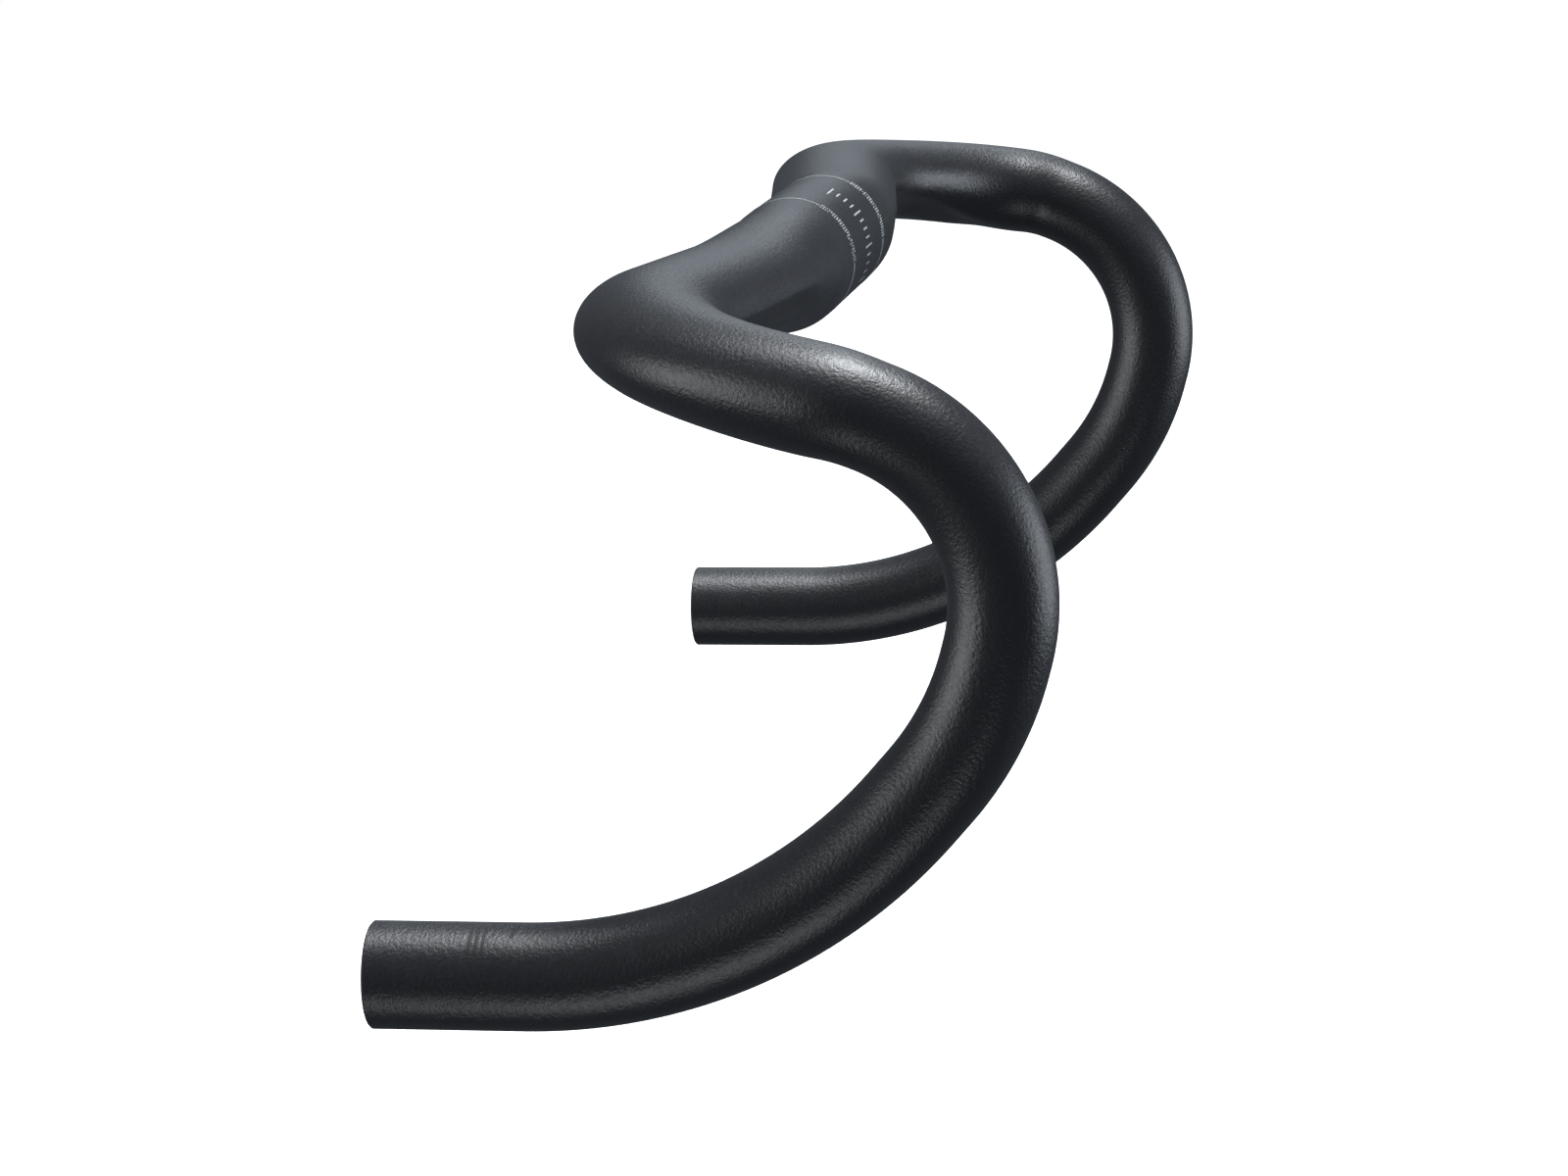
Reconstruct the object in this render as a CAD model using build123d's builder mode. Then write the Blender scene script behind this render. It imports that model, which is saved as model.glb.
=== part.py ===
from build123d import *
import os
from math import atan2, ceil, cos, pi, radians, sin, sqrt

# Drop handlebar: one bent and butted aluminium tube, drawn as the stretches that its maker
# forms one after another, and the marks printed on it. Millimetres. X is to the rider's
# right, Y forward, Z up. The origin is the middle of the stem clamp zone. The drops are level.

# ---- Driving dimensions: the route of the tube's centre line ---------------------------

half_width = 210           # middle of the clamp zone to a drop's centre line
sweep_start = 46           # where the top turns away from the clamp axis
corner_inset = 19          # the corner's vertex lies this far inside the drop's plane
corner_back = 20           # and this far behind the clamp axis
corner_rise = 1.7
ramp_forward = 38.7        # where the ramp enters the hook's plane
ramp_fall = 8.5
hook_top_forward = 80      # the three vertices of the hook, before they are rounded
hook_top_fall = 25
hook_back_forward = 65.6
hook_back_above_drop = 55.3
hook_low_forward = 17.3
drop = 134                 # clamp centre down to the drop's centre line
drop_back = 68.4           # clamp centre back to the cut end

sweep_radius = 60
corner_radius = 65
ramp_radius = 25
hook_top_radius = 42.5
hook_back_radius = 68
hook_low_radius = 114

# ---- Driving dimensions: the tube's section --------------------------------------------

clamp_radius = 15.9        # 31.8 mm stem clamp
clamp_half_length = 32     # round and straight, each side of the middle
grip_radius = 11.9         # 23.8 mm hooks and drops
top_half_depth = 17.4      # the top is flattened: deeper than it is high
top_half_height = 12
corner_half_depth = 16.6
corner_half_height = 11.5
ramp_half_depth = 12.7
ramp_half_height = 12.3
taper_length = 58          # from the clamp zone to the full flattened top
ramp_share = 0.6           # share of the corner's bend after which the ramp stretch starts

clamp_wall = 2.4           # butted: thick in the middle, thin towards the ends
top_wall = 1.7
grip_wall = 1.5
end_chamfer = 0.4

# ---- Driving dimensions: the hose groove and the printed marks -------------------------

groove_depth = 1.4         # pressed in along the front of the top and on under the corner
groove_half_width = 5
groove_run_in = 26         # length over which it fades in and out
groove_start = 60          # station where it starts, measured along the route
groove_angles = (18, 27, 42, 84)   # degrees below the front: at its start, as the corner
                                   # starts, in the corner's middle, and as the corner ends

ink = 0.05                 # thickness of a printed mark
line_width = 0.5
ring_place = 27            # clamp centre to each printed ring
double_line_gap = 1.3
double_line_bottom = -60   # angles on the clamp zone are degrees above its front
double_line_turn = 58
caption_bottom = 0         # small print between the double line and the single one
caption_top = 62
caption_width = 3.2
caption_strokes = 22
caption_pattern = (1, 0.6, 0.8)    # lengths of the strokes, as shares of the print's width
stroke_turn = 1.5
line_turn = 180            # the single line runs from the small print over the top
scale_bottom = -30
scale_step = 8
scale_ticks = 13
scale_short_tick = 6
scale_long_tick = 11
scale_long_every = 4

mark_angle = 12            # degrees from the top of the right drop, outwards
size_mark_from_end = 23.4
size_mark_strokes = 3
size_mark_gap = 1.5
size_mark_turn = 40
trim_mark_from_end = 32.5
trim_mark_turn = 18

section_points = 48        # points of one section's outline
section_spacing = 5        # longest step between two sections of a formed stretch

# ---- The route -------------------------------------------------------------------------

vertices = [
    (0, 0, 0),
    (sweep_start, 0, 0),
    (half_width - corner_inset, -corner_back, corner_rise),
    (half_width, ramp_forward, -ramp_fall),
    (half_width, hook_top_forward, -hook_top_fall),
    (half_width, hook_back_forward, hook_back_above_drop - drop),
    (half_width, hook_low_forward, -drop),
    (half_width, -drop_back, -drop),
]
bend_radii = [
    sweep_radius,
    corner_radius,
    ramp_radius,
    hook_top_radius,
    hook_back_radius,
    hook_low_radius,
]

with BuildLine() as centre_line:
    FilletPolyline(*vertices, radius=bend_radii)
route = centre_line.wire()
runs = route.edges().sort_by(route)
run_ends = [sum(run.length for run in runs[: count + 1]) for count in range(len(runs))]

# Stations are lengths along the route. The runs are straight and bent in turn.
taper_end = clamp_half_length + taper_length
corner_start, corner_end = run_ends[2], run_ends[3]
corner_middle = (corner_start + corner_end) / 2
ramp_start = corner_start + ramp_share * (corner_end - corner_start)
hook_start = run_ends[6]
groove_end = corner_end


def between(station, knots):
    """Value at a station, eased from knot to knot, each knot a (station, value) pair."""
    for (start, low), (end, high) in zip(knots, knots[1:]):
        if station <= end:
            share = max(0, (station - start) / (end - start))
            return low + (high - low) * share * share * (3 - 2 * share)
    return knots[-1][1]


def half_sizes(station):
    """Half depth and half height of the tube's outside."""
    depths = [
        (clamp_half_length, clamp_radius),
        (taper_end, top_half_depth),
        (corner_start, top_half_depth),
        (corner_middle, corner_half_depth),
        (corner_end, ramp_half_depth),
        (hook_start, grip_radius),
    ]
    heights = [
        (clamp_half_length, clamp_radius),
        (taper_end, top_half_height),
        (corner_start, top_half_height),
        (corner_middle, corner_half_height),
        (corner_end, ramp_half_height),
        (hook_start, grip_radius),
    ]
    return between(station, depths), between(station, heights)


def wall(station):
    """Thickness of the tube's wall."""
    butting = [
        (clamp_half_length, clamp_wall),
        (corner_start, top_wall),
        (hook_start, grip_wall),
    ]
    return between(station, butting)


def section_plane(station):
    """Plane across the tube: local X to the front or the inside of the bend, local Y up."""
    place = route.position_at(station, position_mode=PositionMode.LENGTH)
    along = route.tangent_at(station, position_mode=PositionMode.LENGTH)
    return Plane(origin=place, x_dir=Vector(0, 0, 1).cross(along), z_dir=along)


def section_outline(station, inset):
    """Outline points of a section: an ellipse, dented where the hose groove runs."""
    depth, height = half_sizes(station)
    fade = [
        (groove_start, 0),
        (groove_start + groove_run_in, 1),
        (groove_end - groove_run_in, 1),
        (groove_end, 0),
    ]
    dent = groove_depth * between(station, fade)
    turns = zip((groove_start, corner_start, corner_middle, groove_end), groove_angles)
    middle = -radians(between(station, list(turns)))
    points = []
    for count in range(section_points):
        turn = 2 * pi * count / section_points
        away = atan2(sin(turn - middle), cos(turn - middle)) * sqrt(depth * height) / groove_half_width
        sunk = inset + (dent * cos(away * pi / 2) ** 2 if abs(away) < 1 else 0)
        points.append(((depth - sunk) * cos(turn), (height - sunk) * sin(turn)))
    return points


def sections(start, end, inside=False):
    """Section faces of a stretch, evenly spaced, of its outside or of its bore."""
    steps = ceil((end - start) / section_spacing)
    faces = []
    for count in range(steps + 1):
        station = start + (end - start) * count / steps
        with BuildSketch(section_plane(station)) as section:
            with BuildLine():
                Spline(*section_outline(station, wall(station) if inside else 0), periodic=True)
            make_face()
        faces.append(section.sketch.face())
    return faces


# ---- The clamp zone --------------------------------------------------------------------

with BuildPart() as clamp_section:
    with BuildSketch(Plane.YZ):
        Circle(clamp_radius)
        Circle(clamp_radius - clamp_wall, mode=Mode.SUBTRACT)
    extrude(amount=clamp_half_length, both=True)

# ---- The formed stretches: their section changes along the route -----------------------

with BuildPart() as taper_right:
    loft(sections(clamp_half_length, taper_end))
    loft(sections(clamp_half_length, taper_end, inside=True), mode=Mode.SUBTRACT)

with BuildPart() as top_right:
    loft(sections(taper_end, corner_start))
    loft(sections(taper_end, corner_start, inside=True), mode=Mode.SUBTRACT)

with BuildPart() as corner_right:
    loft(sections(corner_start, ramp_start))
    loft(sections(corner_start, ramp_start, inside=True), mode=Mode.SUBTRACT)

with BuildPart() as ramp_right:
    loft(sections(ramp_start, hook_start))
    loft(sections(ramp_start, hook_start, inside=True), mode=Mode.SUBTRACT)

# ---- The round stretches: hook and drop ------------------------------------------------


def tube_end(station):
    """Ring face of the round tube at a station."""
    along = route.tangent_at(station, position_mode=PositionMode.LENGTH)
    place = route.position_at(station, position_mode=PositionMode.LENGTH)
    with BuildSketch(Plane(origin=place, x_dir=(1, 0, 0), z_dir=along)) as ring:
        Circle(grip_radius)
        Circle(grip_radius - grip_wall, mode=Mode.SUBTRACT)
    return ring.sketch


with BuildPart() as hook_upper_right:
    sweep(tube_end(run_ends[6]), path=Wire(runs[7:8]))

with BuildPart() as hook_middle_right:
    sweep(tube_end(run_ends[7]), path=Wire(runs[8:11]))

with BuildPart() as hook_lower_right:
    sweep(tube_end(run_ends[10]), path=Wire(runs[11:12]))

with BuildPart() as drop_right:
    sweep(tube_end(run_ends[11]), path=Wire(runs[12:13]))
    rims = drop_right.edges().filter_by(GeomType.CIRCLE).group_by(Axis.Y)[0]
    chamfer(rims, length=end_chamfer)

# ---- The left half is the right half mirrored ------------------------------------------

right_half = {
    "taper": taper_right,
    "top": top_right,
    "corner": corner_right,
    "ramp": ramp_right,
    "hook_upper": hook_upper_right,
    "hook_middle": hook_middle_right,
    "hook_lower": hook_lower_right,
    "drop": drop_right,
}
pieces = {"clamp_section": clamp_section}
for name, stretch in right_half.items():
    with BuildPart() as mirrored:
        mirror(stretch.part, about=Plane.YZ)
    pieces[name + "_right"] = stretch
    pieces[name + "_left"] = mirrored

# ---- The printed marks -----------------------------------------------------------------


def ink_patch(axis_plane, radius, middle, length, first_angle, turn):
    """Thin patch of ink on a round stretch: a strip along the tube, turned about its axis.

    The axis plane's Z runs along the tube, and angles are counted from its X towards its Y.
    """
    axis = Axis(axis_plane.origin, axis_plane.z_dir)
    outwards = axis_plane.x_dir.rotate(axis, first_angle)
    with BuildPart() as patch:
        along_tube = Plane(axis_plane.origin, x_dir=outwards, z_dir=outwards.cross(axis.direction))
        with BuildSketch(along_tube):
            with Locations((radius + ink / 2, middle)):
                Rectangle(ink, length)
        revolve(axis=axis, revolution_arc=turn)
    return patch.part


clamp_axis = Plane(origin=(0, 0, 0), x_dir=(0, 1, 0), z_dir=(1, 0, 0))    # angles from the front, up
drop_axis = Plane(origin=(half_width, -drop_back, -drop), x_dir=(0, 0, 1), z_dir=(0, 1, 0))
caption_pitch = (caption_top - caption_bottom) / caption_strokes

for side, sign in (("right", 1), ("left", -1)):
    with BuildPart() as limit_ring:
        add(ink_patch(clamp_axis, clamp_radius, sign * ring_place, line_width, caption_top, line_turn))
        for offset in (-double_line_gap / 2, double_line_gap / 2):
            middle = sign * ring_place + offset
            add(ink_patch(
                clamp_axis, clamp_radius, middle, line_width, double_line_bottom, double_line_turn
            ))
    pieces["limit_ring_" + side] = limit_ring

    with BuildPart() as caption:
        for count in range(caption_strokes):
            angle = caption_bottom + caption_pitch * (count + 0.5) - stroke_turn / 2
            length = caption_width * caption_pattern[count % len(caption_pattern)]
            add(ink_patch(clamp_axis, clamp_radius, sign * ring_place, length, angle, stroke_turn))
    pieces["caption_" + side] = caption

with BuildPart() as angle_scale:
    for count in range(scale_ticks):
        length = scale_long_tick if count % scale_long_every == 0 else scale_short_tick
        angle = scale_bottom + scale_step * count
        add(ink_patch(clamp_axis, clamp_radius, 0, length, angle, stroke_turn))
pieces["angle_scale"] = angle_scale

with BuildPart() as size_mark_right:
    for count in range(size_mark_strokes):
        middle = size_mark_from_end + size_mark_gap * count
        add(ink_patch(drop_axis, grip_radius, middle, line_width, mark_angle, size_mark_turn))
pieces["size_mark_right"] = size_mark_right

with BuildPart() as trim_mark_right:
    add(ink_patch(drop_axis, grip_radius, trim_mark_from_end, line_width, mark_angle, trim_mark_turn))
pieces["trim_mark_right"] = trim_mark_right

# ---- Files -----------------------------------------------------------------------------

os.makedirs("parts", exist_ok=True)
for name, piece in pieces.items():
    piece.part.label = name
    export_step(piece.part, f"parts/{name}.step")
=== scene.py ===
import logging
import math
from dataclasses import dataclass
from enum import Enum
from typing import Any, Dict, List, Optional, Sequence, Tuple, Union

import bmesh
import bpy
from mathutils import Matrix, Vector


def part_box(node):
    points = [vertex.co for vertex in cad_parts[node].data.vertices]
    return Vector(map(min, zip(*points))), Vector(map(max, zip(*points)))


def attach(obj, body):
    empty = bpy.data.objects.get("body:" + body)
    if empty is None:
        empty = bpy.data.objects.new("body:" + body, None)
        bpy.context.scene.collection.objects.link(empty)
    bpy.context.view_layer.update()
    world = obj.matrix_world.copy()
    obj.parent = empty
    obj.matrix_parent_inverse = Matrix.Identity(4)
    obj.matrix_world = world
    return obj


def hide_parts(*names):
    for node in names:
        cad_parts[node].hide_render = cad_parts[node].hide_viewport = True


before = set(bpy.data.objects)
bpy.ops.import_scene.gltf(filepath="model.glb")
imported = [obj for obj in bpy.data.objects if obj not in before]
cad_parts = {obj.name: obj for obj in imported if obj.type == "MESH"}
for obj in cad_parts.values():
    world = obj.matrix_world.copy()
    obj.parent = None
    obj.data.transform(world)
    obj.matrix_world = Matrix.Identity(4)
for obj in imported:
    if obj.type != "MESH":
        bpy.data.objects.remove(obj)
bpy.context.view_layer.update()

LOG = logging.getLogger("drop_handlebar")

Triple = Tuple[float, float, float]
Knots = Sequence[Tuple[float, float]]


class Side(Enum):
    """The rider's right and left; the value is the sign of X."""

    RIGHT = 1
    LEFT = -1

    @property
    def word(self) -> str:
        """The side's name as the model's nodes spell it."""
        return self.name.lower()


class Face(Enum):
    """Which skin of the tube a station belongs to; the value is stored for the finish."""

    OUTSIDE = 0.0
    RIM = 0.5
    BORE = 1.0


class Slot(Enum):
    """The record's material slots."""

    BAR = "bar"
    PRINT = "print"
    STAMP = "stamp"


# ---- Node trees ------------------------------------------------------------------------


class Signal:
    """A number carried by a socket; arithmetic on it adds Math nodes."""

    def __init__(self, bench: "NodeBench", socket: bpy.types.NodeSocket) -> None:
        """Keep the bench that adds nodes and the socket that gives the number."""
        self.bench = bench
        self.socket = socket

    def __add__(self, other: "Number") -> "Signal":
        """Sum."""
        return self.bench.maths("ADD", self, other)

    __radd__ = __add__

    def __sub__(self, other: "Number") -> "Signal":
        """Difference."""
        return self.bench.maths("SUBTRACT", self, other)

    def __rsub__(self, other: "Number") -> "Signal":
        """Difference, with this one taken away."""
        return self.bench.maths("SUBTRACT", other, self)

    def __mul__(self, other: "Number") -> "Signal":
        """Product."""
        return self.bench.maths("MULTIPLY", self, other)

    __rmul__ = __mul__

    def __truediv__(self, other: "Number") -> "Signal":
        """Quotient."""
        return self.bench.maths("DIVIDE", self, other)

    def __pow__(self, other: "Number") -> "Signal":
        """Power."""
        return self.bench.maths("POWER", self, other)

    def __mod__(self, other: "Number") -> "Signal":
        """Remainder."""
        return self.bench.maths("FLOORED_MODULO", self, other)

    def __gt__(self, other: "Number") -> "Signal":
        """One where this is the greater, else nought."""
        return self.bench.maths("GREATER_THAN", self, other)

    def __lt__(self, other: "Number") -> "Signal":
        """One where this is the lesser, else nought."""
        return self.bench.maths("LESS_THAN", self, other)


Number = Union[Signal, float]


class NodeBench:
    """Adds nodes to one tree and wires them up."""

    def __init__(self, tree: bpy.types.NodeTree) -> None:
        """Work on a tree, emptied first."""
        self.tree = tree
        tree.nodes.clear()

    def node(
        self,
        kind: str,
        settings: Optional[Dict[str, Any]] = None,
        inputs: Optional[Dict[Union[str, int], Any]] = None,
    ) -> bpy.types.Node:
        """Add any node.

        Args:
            kind: the node's type.
            settings: its properties, set first.
            inputs: values, signals or sockets for its inputs, by name or by number.

        Returns:
            The new node.
        """
        made = self.tree.nodes.new(kind)
        for name, value in (settings or {}).items():
            setattr(made, name, value)
        for key, value in (inputs or {}).items():
            if isinstance(value, Signal):
                self.tree.links.new(value.socket, made.inputs[key])
            elif isinstance(value, bpy.types.NodeSocket):
                self.tree.links.new(value, made.inputs[key])
            else:
                made.inputs[key].default_value = value
        return made

    def maths(self, operation: str, *values: Number) -> Signal:
        """Work out a number with a Math node.

        Args:
            operation: the Math node's operation.
            values: its inputs in order.

        Returns:
            The result.
        """
        made = self.node("ShaderNodeMath", {"operation": operation}, dict(enumerate(values)))
        return Signal(self, made.outputs[0])

    def vector_maths(self, operation: str, *values: Any) -> bpy.types.NodeSocket:
        """Work out a vector with a Vector Math node.

        Args:
            operation: the node's operation.
            values: its inputs in order; a Signal after the first vector of SCALE is its scale.

        Returns:
            The output socket that holds a vector.
        """
        keys = (0, "Scale") if operation == "SCALE" else tuple(range(len(values)))
        made = self.node("ShaderNodeVectorMath", {"operation": operation}, dict(zip(keys, values)))
        return made.outputs[0]

    def mixed(self, share: Number, first: Any, second: Any) -> bpy.types.NodeSocket:
        """Blend two colours.

        Args:
            share: how much of the second one.
            first: a colour or a socket.
            second: a colour or a socket.

        Returns:
            The blended colour's socket.
        """
        made = self.node("ShaderNodeMix", {"data_type": "RGBA"}, {0: share, 6: first, 7: second})
        return made.outputs[2]

    def noise(self, place: Any, grain: float, detail: float = 2.0, roughness: float = 0.5) -> Signal:
        """A noise pattern of a real size.

        Args:
            place: the coordinates' socket, in metres.
            grain: the size of one speck, in metres.
            detail: octaves of finer pattern.
            roughness: how strong the finer octaves are.

        Returns:
            Its value, from nought to one.
        """
        made = self.node(
            "ShaderNodeTexNoise",
            {"noise_dimensions": "3D"},
            {"Vector": place, "Scale": 1.0 / grain, "Detail": detail, "Roughness": roughness},
        )
        return Signal(self, made.outputs[0])


class Recipe:
    """A Geometry Nodes tree that turns a seed mesh into a finished piece."""

    def __init__(self, name: str) -> None:
        """Start an empty tree with a geometry going in and one coming out."""
        self.tree = bpy.data.node_groups.new(name, "GeometryNodeTree")
        self.bench = NodeBench(self.tree)
        self.tree.interface.new_socket("Seed", in_out="INPUT", socket_type="NodeSocketGeometry")
        self.tree.interface.new_socket("Piece", in_out="OUTPUT", socket_type="NodeSocketGeometry")
        self.entry = self.bench.node("NodeGroupInput")
        self.identifiers: Dict[str, str] = {}

    @property
    def seed(self) -> bpy.types.NodeSocket:
        """The seed mesh's socket."""
        return self.entry.outputs["Seed"]

    def ask(self, name: str, kind: str = "Float") -> Signal:
        """Add a named input.

        Args:
            name: the input's name.
            kind: Float, Int, Vector or Material.

        Returns:
            The input as a signal.
        """
        added = self.tree.interface.new_socket(
            name, in_out="INPUT", socket_type="NodeSocket" + kind
        )
        self.identifiers[name] = added.identifier
        return Signal(self.bench, self.entry.outputs[name])

    def stored(self, name: str, kind: str = "FLOAT") -> bpy.types.NodeSocket:
        """Read an attribute that the seed mesh carries.

        Args:
            name: the attribute's name.
            kind: FLOAT or FLOAT_VECTOR.

        Returns:
            The attribute's socket.
        """
        return self.bench.node(
            "GeometryNodeInputNamedAttribute", {"data_type": kind}, {"Name": name}
        ).outputs[0]

    def close(self, piece: bpy.types.NodeSocket, finish: Signal) -> None:
        """End the tree: realise the instances and give the material.

        Args:
            piece: the geometry so far.
            finish: the material's input.
        """
        real = self.bench.node("GeometryNodeRealizeInstances", None, {"Geometry": piece})
        dressed = self.bench.node(
            "GeometryNodeSetMaterial", None, {"Geometry": real.outputs[0], "Material": finish}
        )
        self.bench.node("NodeGroupOutput", None, {"Piece": dressed.outputs[0]})

    def make(self, name: str, seed: bpy.types.Mesh, values: Dict[str, Any]) -> bpy.types.Object:
        """Run the tree on a seed mesh.

        Args:
            name: the new piece's name.
            seed: the mesh that goes in.
            values: a value for each named input.

        Returns:
            A plain mesh object at the origin, linked to the scene, with no modifier left.
        """
        piece = bpy.data.objects.new(name, seed)
        bpy.context.scene.collection.objects.link(piece)
        modifier = piece.modifiers.new("recipe", "NODES")
        modifier.node_group = self.tree
        for asked, value in values.items():
            modifier[self.identifiers[asked]] = value
        evaluated = piece.evaluated_get(bpy.context.evaluated_depsgraph_get())
        mesh = bpy.data.meshes.new_from_object(evaluated)
        piece.modifiers.clear()
        piece.data = mesh
        mesh.name = name
        return piece


# ---- Shape of the tube -----------------------------------------------------------------


def eased(station: float, knots: Knots) -> float:
    """A size that eases from knot to knot.

    Args:
        station: length along the route.
        knots: pairs of a station and the size there.

    Returns:
        The size at the station.
    """
    for (start, low), (end, high) in zip(knots, knots[1:]):
        if station <= end:
            share = max(0.0, (station - start) / (end - start))
            return low + (high - low) * share * share * (3 - 2 * share)
    return knots[-1][1]


@dataclass(frozen=True)
class Run:
    """One stretch of the route: straight, or bent round an arc."""

    length: float
    start: Vector
    along: Vector
    inwards: Vector
    radius: float

    def at(self, travelled: float) -> Tuple[Vector, Vector]:
        """Where the centre line is after some length of this run.

        Args:
            travelled: length from the run's start.

        Returns:
            The point and the direction of travel.
        """
        if not self.radius:
            return self.start + self.along * travelled, self.along.copy()
        turn = travelled / self.radius
        sine, cosine = math.sin(turn), math.cos(turn)
        place = self.start + self.radius * (self.along * sine + self.inwards * (1 - cosine))
        return place, self.along * cosine + self.inwards * sine


@dataclass(frozen=True)
class Route:
    """Centre line of the right half, from the middle of the clamp zone to the cut end."""

    half_width: float
    drop: float
    drop_back: float
    sweep_start: float = 0.046
    corner_inset: float = 0.019
    corner_back: float = 0.020
    corner_rise: float = 0.0017
    ramp_forward: float = 0.0387
    ramp_fall: float = 0.0085
    hook_top_forward: float = 0.080
    hook_top_fall: float = 0.025
    hook_back_forward: float = 0.0656
    hook_back_above_drop: float = 0.0553
    hook_low_forward: float = 0.0173
    radii: Tuple[float, ...] = (0.060, 0.065, 0.025, 0.0425, 0.068, 0.114)

    def corners(self) -> List[Vector]:
        """The points that the route turns at, before they are rounded."""
        wide, low = self.half_width, -self.drop
        return [
            Vector((0.0, 0.0, 0.0)),
            Vector((self.sweep_start, 0.0, 0.0)),
            Vector((wide - self.corner_inset, -self.corner_back, self.corner_rise)),
            Vector((wide, self.ramp_forward, -self.ramp_fall)),
            Vector((wide, self.hook_top_forward, -self.hook_top_fall)),
            Vector((wide, self.hook_back_forward, low + self.hook_back_above_drop)),
            Vector((wide, self.hook_low_forward, low)),
            Vector((wide, -self.drop_back, low)),
        ]

    def runs(self) -> List[Run]:
        """The straight runs and the arcs between them, in order."""
        points = self.corners()
        ways = [(end - start).normalized() for start, end in zip(points, points[1:])]
        made: List[Run] = []
        start = points[0]
        for point, radius, way, onward in zip(points[1:], self.radii, ways, ways[1:]):
            turn = way.angle(onward)
            bend_start = point - way * radius * math.tan(turn / 2)
            made.append(Run((bend_start - start).length, start, way, Vector(), 0.0))
            inwards = (onward - way * way.dot(onward)).normalized()
            made.append(Run(radius * turn, bend_start, way, inwards, radius))
            start = made[-1].at(radius * turn)[0]
        made.append(Run((points[-1] - start).length, start, ways[-1], Vector(), 0.0))
        return made


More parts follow.
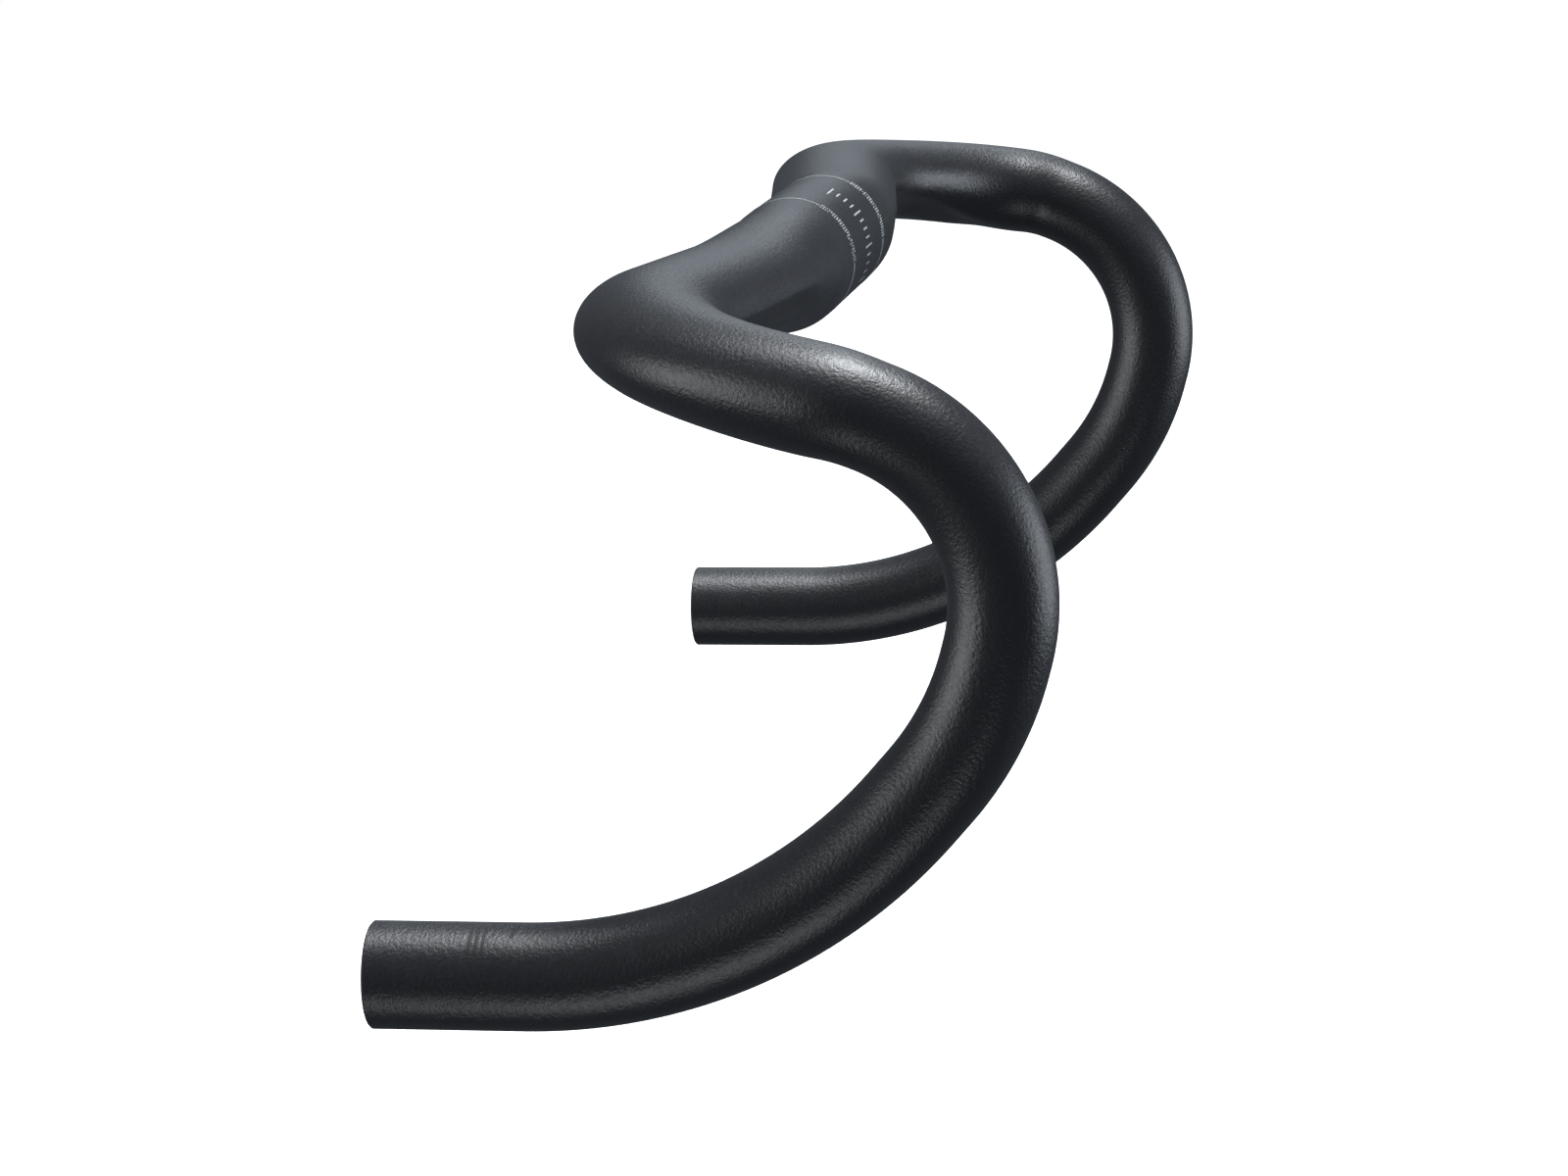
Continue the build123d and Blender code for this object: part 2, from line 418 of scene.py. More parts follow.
@dataclass(frozen=True)
class Tube:
    """The bent, flattened and butted tube, made as one closed skin: outside, rims and bore."""

    route: Route
    clamp_radius: float
    clamp_half_length: float
    grip_radius: float
    taper_length: float = 0.058
    top_half_depth: float = 0.0174
    top_half_height: float = 0.012
    corner_half_depth: float = 0.0166
    corner_half_height: float = 0.0115
    ramp_half_depth: float = 0.0127
    ramp_half_height: float = 0.0123
    clamp_wall: float = 0.0024
    top_wall: float = 0.0017
    grip_wall: float = 0.0015
    end_chamfer: float = 0.0004
    groove_depth: float = 0.0014
    groove_half_width: float = 0.005
    groove_run_in: float = 0.026
    groove_start: float = 0.060
    groove_degrees: Tuple[float, ...] = (18.0, 27.0, 42.0, 84.0)
    groove_power: float = 1.25
    outside_step: float = 0.0014
    bore_step: float = 0.006
    around: int = 128
    sharp_degrees: float = 28.0
    weld_distance: float = 1e-6

    @classmethod
    def from_frame(cls) -> "Tube":
        """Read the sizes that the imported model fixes, and keep the rest as designed."""
        clamp_low, clamp_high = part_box("clamp_section")
        drop_low, drop_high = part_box("drop_right")
        route = Route(
            half_width=(drop_low.x + drop_high.x) / 2,
            drop=-(drop_low.z + drop_high.z) / 2,
            drop_back=-drop_low.y,
        )
        return cls(
            route=route,
            clamp_radius=(clamp_high.z - clamp_low.z) / 2,
            clamp_half_length=(clamp_high.x - clamp_low.x) / 2,
            grip_radius=(drop_high.x - drop_low.x) / 2,
        )

    def station_rows(self) -> Dict[str, List[Any]]:
        """Work out every section of the closed skin, in the order in which it is walked.

        The walk goes along the outside from the left end to the right one, over the right
        rim, back through the bore, over the left rim, and ends where it began.

        Returns:
            For each section its centre, its two half axes as unit vectors, its sizes, how
            far its outline is set in, the groove's depth and angle, and which skin it is on.
        """
        runs = self.route.runs()
        ends = [0.0]
        for run in runs:
            ends.append(ends[-1] + run.length)
        total, hook_start = ends[-1], ends[7]
        bend_start, bend_end = ends[3], ends[4]
        bend_middle = (bend_start + bend_end) / 2
        taper_end = self.clamp_half_length + self.taper_length
        places = (self.clamp_half_length, taper_end, bend_start, bend_middle, bend_end, hook_start)
        depths = list(zip(places, (
            self.clamp_radius, self.top_half_depth, self.top_half_depth,
            self.corner_half_depth, self.ramp_half_depth, self.grip_radius,
        )))
        heights = list(zip(places, (
            self.clamp_radius, self.top_half_height, self.top_half_height,
            self.corner_half_height, self.ramp_half_height, self.grip_radius,
        )))
        walls = [
            (self.clamp_half_length, self.clamp_wall),
            (bend_start, self.top_wall),
            (hook_start, self.grip_wall),
        ]
        fades = [
            (self.groove_start, 0.0),
            (self.groove_start + self.groove_run_in, 1.0),
            (bend_end - self.groove_run_in, 1.0),
            (bend_end, 0.0),
        ]
        turns = list(zip(
            (self.groove_start, bend_start, bend_middle, bend_end), self.groove_degrees
        ))
        rows: Dict[str, List[Any]] = {
            key: [] for key in (
                "centre", "across", "upwards", "half_depth", "half_height", "inset", "dent",
                "dent_angle", "skin",
            )
        }

        def section(station: float, inset: float, skin: Face) -> None:
            """Add the section at a station, negative on the left, set in by a distance."""
            side, reach = (1.0 if station >= 0 else -1.0), abs(station)
            count = max(i for i in range(len(runs)) if ends[i] <= reach + 1e-9)
            place, along = runs[count].at(reach - ends[count])
            if reach < hook_start:
                across = Vector((0, 0, 1)).cross(along).normalized()
            else:
                across = Vector((-1, 0, 0))
            upwards = along.cross(across)
            place.x, across.x, upwards.x = side * place.x, side * across.x, side * upwards.x
            rows["centre"].append(place)
            rows["across"].append(across)
            rows["upwards"].append(upwards)
            rows["half_depth"].append(eased(reach, depths))
            rows["half_height"].append(eased(reach, heights))
            rows["inset"].append(inset)
            rows["dent"].append(self.groove_depth * eased(reach, fades))
            rows["dent_angle"].append(-math.radians(eased(reach, turns)))
            rows["skin"].append(skin.value)

        cut = total - self.end_chamfer
        steps = round(2 * cut / self.outside_step)
        for step in range(steps + 1):
            section(-cut + 2 * cut * step / steps, 0.0, Face.OUTSIDE)
        section(total, self.end_chamfer, Face.RIM)
        section(total, self.grip_wall - self.end_chamfer, Face.RIM)
        steps = round(2 * cut / self.bore_step)
        for step in range(steps + 1):
            station = cut - 2 * cut * step / steps
            section(station, eased(abs(station), walls), Face.BORE)
        section(-total, self.grip_wall - self.end_chamfer, Face.RIM)
        section(-total, self.end_chamfer, Face.RIM)
        section(-cut, 0.0, Face.OUTSIDE)
        return rows

    def seed_mesh(self) -> bpy.types.Mesh:
        """Store the sections as points with their sizes as attributes."""
        rows = self.station_rows()
        mesh = bpy.data.meshes.new("sections")
        mesh.from_pydata(rows.pop("centre"), [], [])
        for name, values in rows.items():
            if isinstance(values[0], Vector):
                held = mesh.attributes.new(name, "FLOAT_VECTOR", "POINT")
                held.data.foreach_set("vector", [part for value in values for part in value])
            else:
                held = mesh.attributes.new(name, "FLOAT", "POINT")
                held.data.foreach_set("value", values)
        return mesh

    @staticmethod
    def recipe() -> Recipe:
        """The tree that skins the sections: a grid wrapped round them and closed on itself."""
        recipe = Recipe("tube_skin")
        bench = recipe.bench
        around = recipe.ask("Around", "Int")
        half_width = recipe.ask("Groove half width")
        power = recipe.ask("Groove power")
        weld = recipe.ask("Weld distance")
        sharp = recipe.ask("Sharp angle")
        finish = recipe.ask("Finish", "Material")

        size = bench.node("GeometryNodeAttributeDomainSize", None, {"Geometry": recipe.seed})
        grid = bench.node(
            "GeometryNodeMeshGrid",
            None,
            {"Vertices X": size.outputs["Point Count"], "Vertices Y": around + 1.0},
        )
        index = Signal(bench, bench.node("GeometryNodeInputIndex").outputs[0])
        row = bench.maths("FLOOR", index / (around + 1.0) + 1e-4)
        turn = (index - row * (around + 1.0)) * (2 * math.pi) / around

        def sampled(value: bpy.types.NodeSocket, kind: str = "FLOAT") -> bpy.types.NodeSocket:
            """Read a value of the seed mesh at this vertex's section."""
            return bench.node(
                "GeometryNodeSampleIndex",
                {"data_type": kind, "domain": "POINT"},
                {"Geometry": recipe.seed, "Value": value, "Index": row},
            ).outputs[0]

        def number(name: str) -> Signal:
            """Read one of the sections' numbers."""
            return Signal(bench, sampled(recipe.stored(name)))

        def direction(name: str) -> bpy.types.NodeSocket:
            """Read one of the sections' vectors."""
            return sampled(recipe.stored(name, "FLOAT_VECTOR"), "FLOAT_VECTOR")

        depth, height = number("half_depth"), number("half_height")
        off = bench.maths("WRAP", turn - number("dent_angle"), math.pi, -math.pi)
        away = off * bench.maths("SQRT", depth * height) / half_width
        cove = bench.maths("MAXIMUM", 1.0 - away * away, 0.0) ** power
        sunk = number("inset") + number("dent") * cove
        sideways = bench.vector_maths(
            "SCALE", direction("across"), (depth - sunk) * bench.maths("COSINE", turn)
        )
        upright = bench.vector_maths(
            "SCALE", direction("upwards"), (height - sunk) * bench.maths("SINE", turn)
        )
        centre = sampled(bench.node("GeometryNodeInputPosition").outputs[0], "FLOAT_VECTOR")
        place = bench.vector_maths("ADD", centre, bench.vector_maths("ADD", sideways, upright))

        marked = bench.node(
            "GeometryNodeStoreNamedAttribute",
            {"data_type": "FLOAT", "domain": "POINT"},
            {"Geometry": grid.outputs["Mesh"], "Name": "skin", "Value": number("skin")},
        )
        placed = bench.node(
            "GeometryNodeSetPosition", None, {"Geometry": marked.outputs[0], "Position": place}
        )
        welded = bench.node(
            "GeometryNodeMergeByDistance",
            None,
            {"Geometry": placed.outputs[0], "Distance": weld},
        )
        turned = bench.node("GeometryNodeFlipFaces", None, {"Mesh": welded.outputs[0]})
        smooth = bench.node(
            "GeometryNodeSetShadeSmooth", {"domain": "FACE"}, {"Geometry": turned.outputs[0]}
        )
        angle = Signal(bench, bench.node("GeometryNodeInputMeshEdgeAngle").outputs[0])
        creased = bench.node(
            "GeometryNodeSetShadeSmooth",
            {"domain": "EDGE"},
            {"Geometry": smooth.outputs[0], "Selection": angle > sharp, "Shade Smooth": False},
        )
        recipe.close(creased.outputs[0], finish)
        return recipe

    def build(self, finish: bpy.types.Material) -> bpy.types.Object:
        """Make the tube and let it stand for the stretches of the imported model.

        Args:
            finish: the anodised finish.

        Returns:
            The finished piece.
        """
        piece = self.recipe().make("bar_tube", self.seed_mesh(), {
            "Around": self.around,
            "Groove half width": self.groove_half_width,
            "Groove power": self.groove_power,
            "Weld distance": self.weld_distance,
            "Sharp angle": math.radians(self.sharp_degrees),
            "Finish": finish,
        })
        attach(piece, "root")
        stretches = ("taper", "top", "corner", "ramp", "hook_upper", "hook_middle", "hook_lower", "drop")
        names = [f"{stretch}_{side.word}" for stretch in stretches for side in Side]
        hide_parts("clamp_section", *names)
        return piece


# ---- Printed and stamped marks ---------------------------------------------------------


@dataclass(frozen=True)
class Strokes:
    """A row of equal-turning ink strokes round a bar, each a thin curved patch.

    Angles are in degrees and count from the front upwards; lengths are in metres.
    """

    middle: float
    first: float
    turn: float
    short: float
    long: float
    count: int = 1
    pitch: float = 0.0
    long_every: int = 0
    seed: int = 0
    keep: float = 1.0


@dataclass(frozen=True)
class InkPress:
    """Prints rows of strokes on a round stretch of the bar."""

    radius: float
    thickness: float
    place: Triple = (0.0, 0.0, 0.0)
    heading: Triple = (0.0, 0.0, 0.0)
    degrees_per_facet: float = 3.0

    @staticmethod
    def recipe() -> Recipe:
        """The tree that prints one row of strokes."""
        recipe = Recipe("ink_strokes")
        bench = recipe.bench
        count = recipe.ask("Count", "Int")
        middle = recipe.ask("Middle")
        first = recipe.ask("First angle")
        pitch = recipe.ask("Pitch")
        turn = recipe.ask("Stroke turn")
        short = recipe.ask("Short length")
        long = recipe.ask("Long length")
        every = recipe.ask("Long every", "Int")
        keep = recipe.ask("Share kept")
        seed = recipe.ask("Random seed", "Int")
        facets = recipe.ask("Facets", "Int")
        radius = recipe.ask("Radius")
        thickness = recipe.ask("Thickness")
        place = recipe.ask("Place", "Vector")
        heading = recipe.ask("Heading", "Vector")
        finish = recipe.ask("Finish", "Material")

        size = bench.node("ShaderNodeCombineXYZ", None, {"X": 1.0, "Y": turn, "Z": thickness})
        block = bench.node(
            "GeometryNodeMeshCube", None, {"Size": size.outputs[0], "Vertices Y": facets + 1.0}
        )
        corner = bench.node(
            "ShaderNodeSeparateXYZ",
            None,
            {"Vector": bench.node("GeometryNodeInputPosition").outputs[0]},
        )
        angle = Signal(bench, corner.outputs["Y"]) + turn / 2.0
        reach = Signal(bench, corner.outputs["Z"]) + radius + thickness / 2.0
        curved = bench.node("ShaderNodeCombineXYZ", None, {
            "X": corner.outputs["X"],
            "Y": reach * bench.maths("COSINE", angle),
            "Z": reach * bench.maths("SINE", angle),
        })
        patch = bench.node(
            "GeometryNodeSetPosition",
            None,
            {"Geometry": block.outputs["Mesh"], "Position": curved.outputs[0]},
        )
        turned = bench.node("GeometryNodeFlipFaces", None, {"Mesh": patch.outputs[0]})

        line = bench.node("GeometryNodeMeshLine", None, {"Count": count, "Offset": (0.0, 0.0, 0.0)})
        start = bench.node("ShaderNodeCombineXYZ", None, {"X": middle})
        points = bench.node(
            "GeometryNodeSetPosition",
            None,
            {"Geometry": line.outputs["Mesh"], "Position": start.outputs[0]},
        )
        index = Signal(bench, bench.node("GeometryNodeInputIndex").outputs[0])
        chance = bench.node(
            "FunctionNodeRandomValue", {"data_type": "FLOAT"}, {"ID": index, "Seed": seed}
        )
        spread = Signal(bench, chance.outputs["Value"])
        other = bench.node(
            "FunctionNodeRandomValue", {"data_type": "FLOAT"}, {"ID": index, "Seed": seed + 1.0}
        )
        lot = Signal(bench, other.outputs["Value"])
        regular = every > 0.5
        is_long = (index % bench.maths("MAXIMUM", every, 1.0)) < 0.5
        share = regular * is_long + (1.0 - regular) * spread
        turning = bench.node("ShaderNodeCombineXYZ", None, {"X": first + pitch * index})
        rotation = bench.node("FunctionNodeEulerToRotation", None, {0: turning.outputs[0]})
        stretch = bench.node(
            "ShaderNodeCombineXYZ", None, {"X": short + (long - short) * share, "Y": 1.0, "Z": 1.0}
        )
        row = bench.node("GeometryNodeInstanceOnPoints", None, {
            "Points": points.outputs[0],
            "Selection": lot < keep,
            "Instance": turned.outputs[0],
            "Rotation": rotation.outputs[0],
            "Scale": stretch.outputs[0],
        })
        aimed = bench.node("FunctionNodeEulerToRotation", None, {0: heading})
        moved = bench.node("GeometryNodeTransform", None, {
            "Geometry": row.outputs[0],
            "Translation": place,
            "Rotation": aimed.outputs[0],
        })
        recipe.close(moved.outputs[0], finish)
        return recipe

    def print_rows(
        self, name: str, recipe: Recipe, rows: Sequence[Strokes], finish: bpy.types.Material
    ) -> bpy.types.Object:
        """Print some rows as one piece.

        Args:
            name: the piece's name.
            recipe: the tree that prints a row.
            rows: the rows.
            finish: the ink.

        Returns:
            The piece, one plain mesh.
        """
        joined = bmesh.new()
        for row in rows:
            part = recipe.make(name + "_row", bpy.data.meshes.new("no_seed"), {
                "Count": row.count,
                "Middle": row.middle,
                "First angle": math.radians(row.first),
                "Pitch": math.radians(row.pitch),
                "Stroke turn": math.radians(row.turn),
                "Short length": row.short,
                "Long length": row.long,
                "Long every": row.long_every,
                "Share kept": row.keep,
                "Random seed": row.seed,
                "Facets": max(1, round(row.turn / self.degrees_per_facet)),
                "Radius": self.radius,
                "Thickness": self.thickness,
                "Place": self.place,
                "Heading": self.heading,
                "Finish": finish,
            })
            joined.from_mesh(part.data)
            bpy.data.objects.remove(part)
        mesh = bpy.data.meshes.new(name)
        joined.to_mesh(mesh)
        joined.free()
        mesh.materials.append(finish)
        piece = bpy.data.objects.new(name, mesh)
        bpy.context.scene.collection.objects.link(piece)
        return piece


@dataclass(frozen=True)
class StemMarks:
    """What is printed on the clamp zone: limit rings, small print and an angle scale."""

    radius: float
    thickness: float = 0.00005
    ring_place: float = 0.027
    line_width: float = 0.0007
    double_line_gap: float = 0.0016
    double_line_bottom: float = -60.0
    double_line_turn: float = 58.0
    caption_bottom: float = 0.0
    caption_top: float = 62.0
    caption_width: float = 0.0048
    caption_strokes: int = 24
    caption_lines: int = 3
    dash_turn_share: float = 0.55
    dash_short_share: float = 0.4
    dash_long_share: float = 0.95
    dashes_kept: float = 0.85
    line_turn: float = 180.0
    scale_bottom: float = -30.0
    scale_step: float = 8.0
    scale_ticks: int = 13
    tick_turn: float = 1.5
    short_tick: float = 0.006
    long_tick: float = 0.011
    long_every: int = 4

    def ring_rows(self, side: Side) -> List[Strokes]:
        """The single line over the top and the double line below the front.

        Args:
            side: which ring.

        Returns:
            Its three rows.
        """
        middle, width = side.value * self.ring_place, self.line_width
        gap = self.double_line_gap / 2
        return [Strokes(middle, self.caption_top, self.line_turn, width, width)] + [
            Strokes(middle + off, self.double_line_bottom, self.double_line_turn, width, width)
            for off in (-gap, gap)
        ]

    def caption_rows(self, side: Side) -> List[Strokes]:
        """Plain dashes in the place of the small print.

        Args:
            side: which ring they belong to.

        Returns:
            One row for each line of dashes.
        """
        pitch = (self.caption_top - self.caption_bottom) / self.caption_strokes
        line = self.caption_width / self.caption_lines
        rows = []
        for count in range(self.caption_lines):
            off = (count - (self.caption_lines - 1) / 2) * line
            rows.append(Strokes(
                side.value * self.ring_place + off, self.caption_bottom,
                pitch * self.dash_turn_share, line * self.dash_short_share,
                line * self.dash_long_share, self.caption_strokes, pitch,
                seed=10 * count + side.value + 2, keep=self.dashes_kept,
            ))
        return rows

    def build(self, recipe: Recipe, ink: bpy.types.Material) -> List[bpy.types.Object]:
        """Print every mark of the clamp zone.

        Args:
            recipe: the tree that prints a row.
            ink: the pale ink.

        Returns:
            The printed pieces.
        """
        press = InkPress(self.radius, self.thickness)
        made = []
        for side in Side:
            ring = press.print_rows("stem_ring_" + side.word, recipe, self.ring_rows(side), ink)
            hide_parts("limit_ring_" + side.word)
            small = press.print_rows(
                "small_print_" + side.word, recipe, self.caption_rows(side), ink
            )
            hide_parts("caption_" + side.word)
            made += [ring, small]
        ticks = Strokes(
            0.0, self.scale_bottom, self.tick_turn, self.short_tick, self.long_tick,
            self.scale_ticks, self.scale_step, self.long_every,
        )
        scale = press.print_rows("stem_angle_ticks", recipe, [ticks], ink)
        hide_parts("angle_scale")
        made.append(scale)
        for piece in made:
            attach(piece, "root")
        return made


@dataclass(frozen=True)
class DropMarks:
    """The size and trim marks stamped into the right drop: thin dark strokes whose dark colour is
    painted shade of the stamped grooves.
    """

    radius: float
    end: Vector
    thickness: float = 0.00005
    line_width: float = 0.0008
    top_to_mark: float = 12.0
    size_from_end: float = 0.0234
    size_strokes: int = 3
    size_gap: float = 0.0015
    size_turn: float = 40.0
    trim_from_end: float = 0.0325
    trim_turn: float = 18.0

    def build(self, recipe: Recipe, ink: bpy.types.Material) -> List[bpy.types.Object]:
        """Draw both marks as dark strokes that paint the shade of the stamped grooves.

        Args:
            recipe: the tree that prints a row.
            ink: the dark colour that paints the shade in the stamped grooves.

        Returns:
            The two pieces.
        """
        # Turned a quarter about Z, the press's X runs forward along the drop and its
        # angles start on the inner side, so the outer side lies beyond the top at 90.
        press = InkPress(
            self.radius, self.thickness, tuple(self.end), (0.0, 0.0, math.radians(90.0))
        )
        first, width = 90.0 + self.top_to_mark, self.line_width
        size_rows = [
            Strokes(self.size_from_end + self.size_gap * count, first, self.size_turn, width, width)
            for count in range(self.size_strokes)
        ]
        # The strokes' dark colour is painted shade: it stands for the shade inside the stamped grooves.
        size_mark = press.print_rows("drop_size_strokes", recipe, size_rows, ink)
        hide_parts("size_mark_right")
        trim_row = Strokes(self.trim_from_end, first, self.trim_turn, width, width)
        trim_mark = press.print_rows("drop_trim_stroke", recipe, [trim_row], ink)
        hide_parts("trim_mark_right")
        for piece in (size_mark, trim_mark):
            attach(piece, "root")
        return [size_mark, trim_mark]


# ---- Finishes --------------------------------------------------------------------------


@dataclass(frozen=True)
class BlackAnodising:
    """Bead-blasted alloy, dyed black: a fine matte grain with faint mottling."""

    colour: Triple = (0.0150, 0.0156, 0.0172)
    bore_colour: Triple = (0.0100, 0.0102, 0.0108)
    roughness: float = 0.40
    bore_roughness: float = 0.52
    mottle_grain: float = 0.006
    mottle: float = 0.22
    speck_grain: float = 0.0010
    blast_grain: float = 0.0007
    blast_depth: float = 0.00011
    blast_strength: float = 0.9
    speck_height: float = 0.8
    paler_by: float = 1.9
    mottle_floor: float = 0.35
    speck: float = 0.35
    mottle_roughness: float = 0.08
    speck_roughness: float = 0.14
    specular_level: float = 0.75

    def make(self) -> bpy.types.Material:
        """Build the material's nodes."""
        material = bpy.data.materials.new("black_anodised_alloy")
        material.use_nodes = True
        bench = NodeBench(material.node_tree)
        place = bench.node("ShaderNodeTexCoord").outputs["Object"]
        skin = bench.node("ShaderNodeAttribute", {"attribute_name": "skin"})
        inside = Signal(bench, skin.outputs["Fac"])
        mottle = bench.noise(place, self.mottle_grain, 3.0, 0.55)
        speck = bench.noise(place, self.speck_grain, 1.0, 0.5)
        blast = bench.noise(place, self.blast_grain, 2.0, 0.6)

        body = bench.mixed(inside, (*self.colour, 1.0), (*self.bore_colour, 1.0))
        paler = tuple(self.paler_by * part for part in self.colour)
        share = (mottle - self.mottle_floor) * self.mottle + (speck - 0.5) * self.speck
        shade = bench.mixed(bench.maths("MAXIMUM", share, 0.0), body, (*paler, 1.0))
        rough = (
            self.roughness
            + inside * (self.bore_roughness - self.roughness)
            + (mottle - 0.5) * self.mottle_roughness
            + (speck - 0.5) * self.speck_roughness
        )
        bump = bench.node("ShaderNodeBump", None, {
            "Strength": self.blast_strength,
            "Distance": self.blast_depth,
            "Height": blast + speck * self.speck_height,
        })
        shader = bench.node("ShaderNodeBsdfPrincipled", None, {
            "Base Color": shade,
            "Roughness": rough,
            "Normal": bump.outputs[0],
            "Metallic": 0.0,
            "Specular IOR Level": self.specular_level,
        })
        bench.node("ShaderNodeOutputMaterial", None, {"Surface": shader.outputs[0]})
        return material


@dataclass(frozen=True)
class Ink:
    """Thin printing ink, a little worn and uneven; for the drop's stamped marks the same recipe gives
    dark strokes whose colour is painted shade of the stamped grooves.
    """

    name: str
    colour: Triple
    worn_colour: Triple
    roughness: float = 0.55
    wear_grain: float = 0.0009
    wear: float = 0.5
    wear_roughness: float = 0.2
    relief: float = 0.00002
    relief_strength: float = 0.3

    def make(self) -> bpy.types.Material:
        """Build the material's nodes."""
        material = bpy.data.materials.new(self.name)
        material.use_nodes = True
        bench = NodeBench(material.node_tree)
        place = bench.node("ShaderNodeTexCoord").outputs["Object"]
        patchy = bench.noise(place, self.wear_grain, 3.0, 0.6)
        fine = bench.noise(place, self.wear_grain / 3, 1.0, 0.5)
        colour = bench.mixed(patchy * self.wear, (*self.colour, 1.0), (*self.worn_colour, 1.0))
        bump = bench.node(
            "ShaderNodeBump", None, {
                "Strength": self.relief_strength, "Distance": self.relief, "Height": fine,
            }
        )
        shader = bench.node("ShaderNodeBsdfPrincipled", None, {
            "Base Color": colour,
            "Roughness": self.roughness + (patchy - 0.5) * self.wear_roughness,
            "Normal": bump.outputs[0],
        })
        bench.node("ShaderNodeOutputMaterial", None, {"Surface": shader.outputs[0]})
        return material


# ---- Studio ----------------------------------------------------------------------------


@dataclass(frozen=True)
class SoftBox:
    """A large soft lamp that faces a point."""

    name: str
    centre: Triple
    size: Tuple[float, float]
    power: float
    colour: Triple = (1.0, 1.0, 1.0)
    target: Triple = (0.0, 0.0, -0.06)

    def hang(self) -> bpy.types.Object:
        """Put the lamp in the scene."""
        lamp = bpy.data.lights.new(self.name, "AREA")
        lamp.shape = "RECTANGLE"
        lamp.size, lamp.size_y = self.size
        lamp.energy = self.power
        lamp.color = self.colour
        holder = bpy.data.objects.new(self.name, lamp)
        centre, target = Vector(self.centre), Vector(self.target)
        turn = (target - centre).to_track_quat("-Z", "Y").to_matrix().to_4x4()
        holder.matrix_world = Matrix.Translation(centre) @ turn
        holder.visible_camera = False
        bpy.context.scene.collection.objects.link(holder)
        return holder


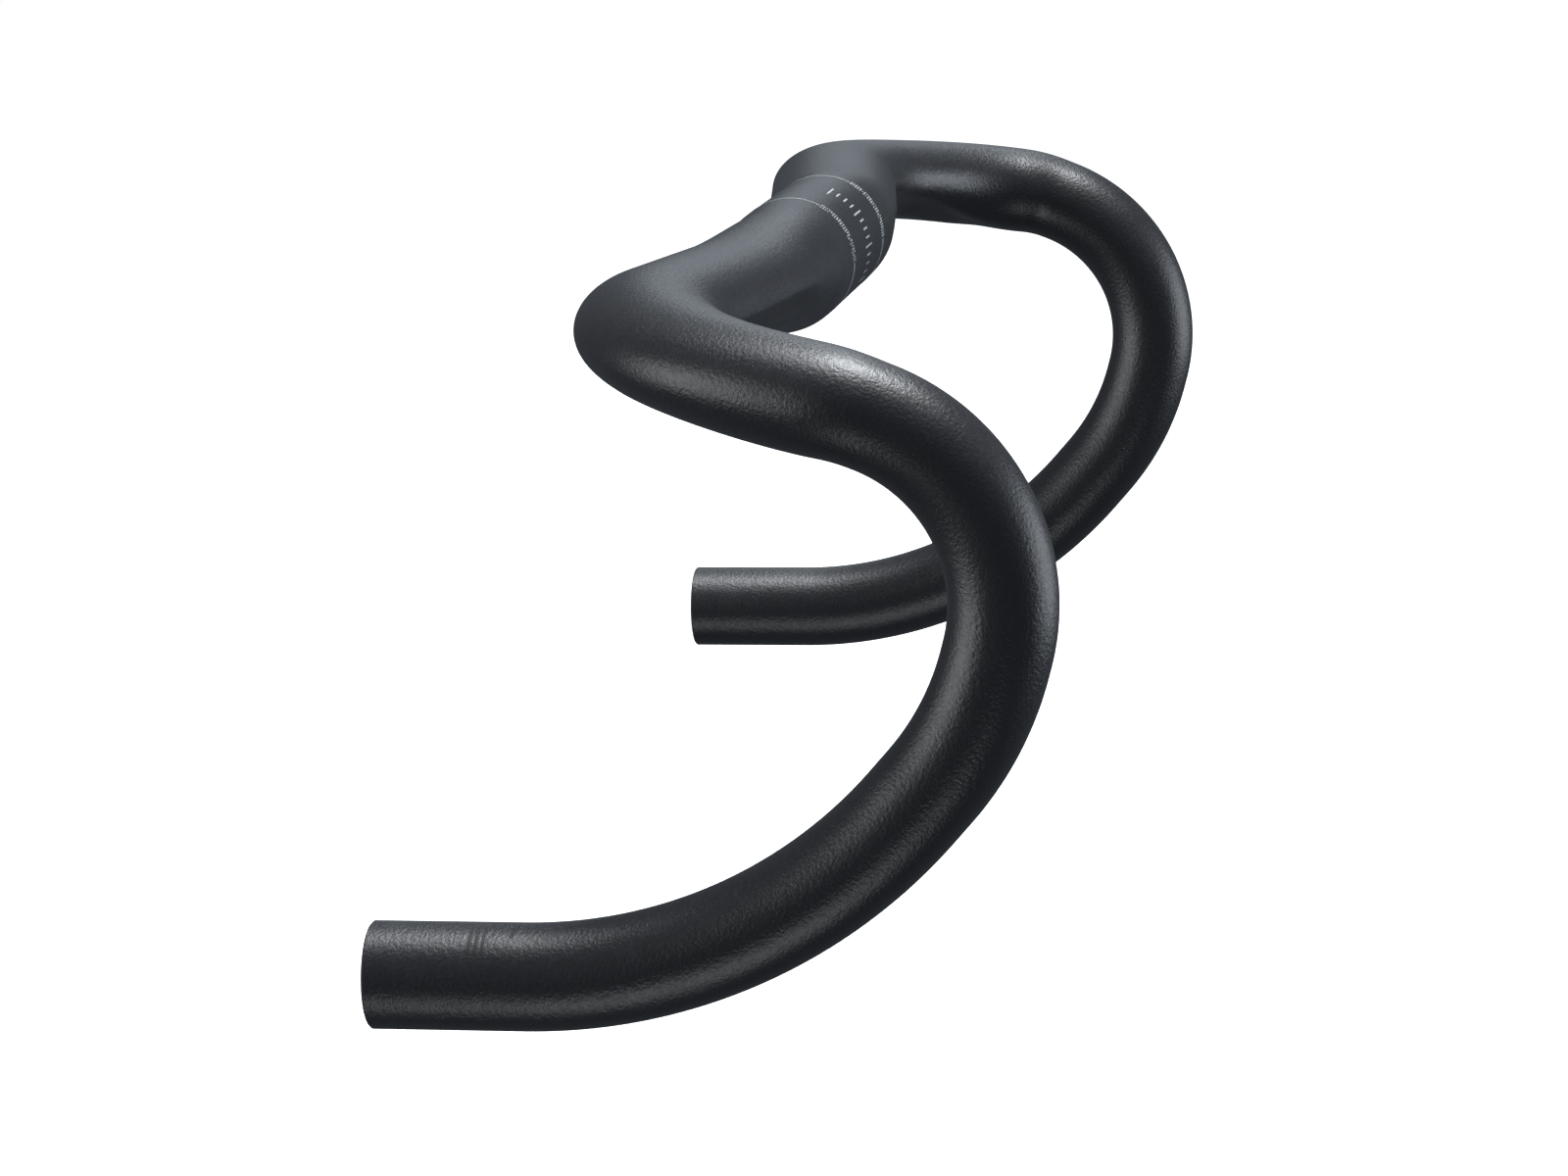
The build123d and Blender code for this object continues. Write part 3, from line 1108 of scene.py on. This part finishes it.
@dataclass(frozen=True)
class Studio:
    """White room: a pale floor, soft lamps and the camera."""

    floor_height: float = -0.40
    floor_half: float = 6.0
    floor_grain: float = 0.05
    floor_glow: float = 0.97
    camera_place: Triple = (1.18167, 0.17816, 0.13940)
    yaw: float = 0.15646
    pitch: float = 0.18781
    roll: float = -0.02616
    lens: float = 108.19
    sensor: float = 36.0
    sky_light: Triple = (0.100, 0.112, 0.132)
    lamps: Tuple[SoftBox, ...] = (
        SoftBox("overhead_key", (-0.51, 0.48, 2.85), (1.1, 0.9), 88.0, (0.94, 0.97, 1.0)),
        SoftBox("overhead_wide", (0.10, -0.06, 2.94), (1.9, 1.3), 42.0, (0.95, 0.96, 1.0)),
        SoftBox("far_high_card", (-2.19, 0.09, 1.98), (0.9, 0.9), 9.0, (0.82, 0.92, 1.0)),
        SoftBox("far_low_card", (-2.85, -0.27, 0.84), (0.85, 0.85), 1.5, (0.80, 0.92, 1.0)),
        SoftBox("rear_box", (1.27, -2.70, 0.0), (2.2, 2.0), 42.0, (0.95, 0.97, 1.0)),
        SoftBox("front_card", (-0.80, 2.85, 0.0), (2.4, 1.8), 46.0, (0.86, 0.92, 1.0)),
        SoftBox("low_fill", (1.90, 0.10, -2.30), (2.2, 1.5), 20.0, (0.94, 0.96, 1.0)),
    )

    def lay_floor(self) -> bpy.types.Object:
        """Lay the pale floor."""
        half, low = self.floor_half, self.floor_height
        mesh = bpy.data.meshes.new("floor")
        corners = [(-half, -half, low), (half, -half, low), (half, half, low), (-half, half, low)]
        mesh.from_pydata(corners, [], [(0, 1, 2, 3)])
        material = bpy.data.materials.new("pale_floor")
        material.use_nodes = True
        bench = NodeBench(material.node_tree)
        place = bench.node("ShaderNodeTexCoord").outputs["Object"]
        grain = bench.noise(place, self.floor_grain)
        tone = bench.mixed(grain, (0.80, 0.80, 0.80, 1.0), (0.84, 0.84, 0.84, 1.0))
        shader = bench.node("ShaderNodeBsdfPrincipled", None, {
            "Base Color": tone,
            "Roughness": 0.9,
            "Emission Color": (1.0, 1.0, 1.0, 1.0),
            "Emission Strength": self.floor_glow,
        })
        bench.node("ShaderNodeOutputMaterial", None, {"Surface": shader.outputs[0]})
        mesh.materials.append(material)
        floor = bpy.data.objects.new("floor", mesh)
        floor.visible_glossy = False
        floor.visible_diffuse = False
        bpy.context.scene.collection.objects.link(floor)
        return floor

    def paint_sky(self) -> None:
        """White behind everything, and a dim even grey as light."""
        world = bpy.data.worlds.new("white_room")
        world.use_nodes = True
        bench = NodeBench(world.node_tree)
        seen = bench.node("ShaderNodeLightPath").outputs["Is Camera Ray"]
        dim = bench.node(
            "ShaderNodeBackground", None, {"Color": (*self.sky_light, 1.0), "Strength": 1.0}
        )
        white = bench.node("ShaderNodeBackground", None, {"Color": (1, 1, 1, 1), "Strength": 1.0})
        both = bench.node(
            "ShaderNodeMixShader", None, {0: seen, 1: dim.outputs[0], 2: white.outputs[0]}
        )
        bench.node("ShaderNodeOutputWorld", None, {"Surface": both.outputs[0]})
        bpy.context.scene.world = world

    def set_camera(self) -> bpy.types.Object:
        """Stand the camera at the rider's right, a little above and ahead of the bar."""
        flat = math.cos(self.pitch)
        forward = Vector((
            -math.cos(self.yaw) * flat, -math.sin(self.yaw) * flat, -math.sin(self.pitch)
        ))
        level = forward.cross(Vector((0, 0, 1))).normalized()
        upright = level.cross(forward)
        cosine, sine = math.cos(self.roll), math.sin(self.roll)
        right = level * cosine + upright * sine
        up = upright * cosine - level * sine
        turn = Matrix((right, up, -forward)).transposed().to_4x4()
        data = bpy.data.cameras.new("camera")
        data.sensor_width, data.lens = self.sensor, self.lens
        data.clip_start, data.clip_end = 0.05, 50.0
        camera = bpy.data.objects.new("camera", data)
        camera.matrix_world = Matrix.Translation(Vector(self.camera_place)) @ turn
        bpy.context.scene.collection.objects.link(camera)
        bpy.context.scene.camera = camera
        return camera

    def build(self) -> None:
        """Set up the whole studio."""
        self.set_camera()
        self.lay_floor()
        self.paint_sky()
        for lamp in self.lamps:
            lamp.hang()
        settings = bpy.context.scene.view_settings
        settings.view_transform = "Standard"
        settings.look = "None"


def report(piece: bpy.types.Object) -> None:
    """Log a piece's name, triangles and place."""
    mesh = piece.data
    mesh.calc_loop_triangles()
    low = [min(vertex.co[axis] for vertex in mesh.vertices) for axis in range(3)]
    high = [max(vertex.co[axis] for vertex in mesh.vertices) for axis in range(3)]
    LOG.info(
        "%s: %d triangles, from %s to %s", piece.name, len(mesh.loop_triangles),
        [round(value, 4) for value in low], [round(value, 4) for value in high],
    )


def main() -> None:
    """Build the studio, the tube and its marks, and report each piece."""
    logging.basicConfig(level=logging.INFO, format="%(message)s")
    Studio().build()
    tube = Tube.from_frame()
    report(tube.build(BlackAnodising().make()))
    press = InkPress.recipe()
    pale = Ink("pale_ink", (0.56, 0.59, 0.62), (0.26, 0.27, 0.29)).make()
    # The near-black stamp colour is painted shade: it stands for the shade inside the stamped grooves of
    # the size and trim marks.
    dark = Ink("painted_stamp_shade", (0.004, 0.004, 0.005), (0.010, 0.010, 0.011)).make()
    for piece in StemMarks(tube.clamp_radius).build(press, pale):
        report(piece)
    end = Vector((tube.route.half_width, -tube.route.drop_back, -tube.route.drop))
    for piece in DropMarks(tube.grip_radius, end).build(press, dark):
        report(piece)


if __name__ == "__main__":
    main()
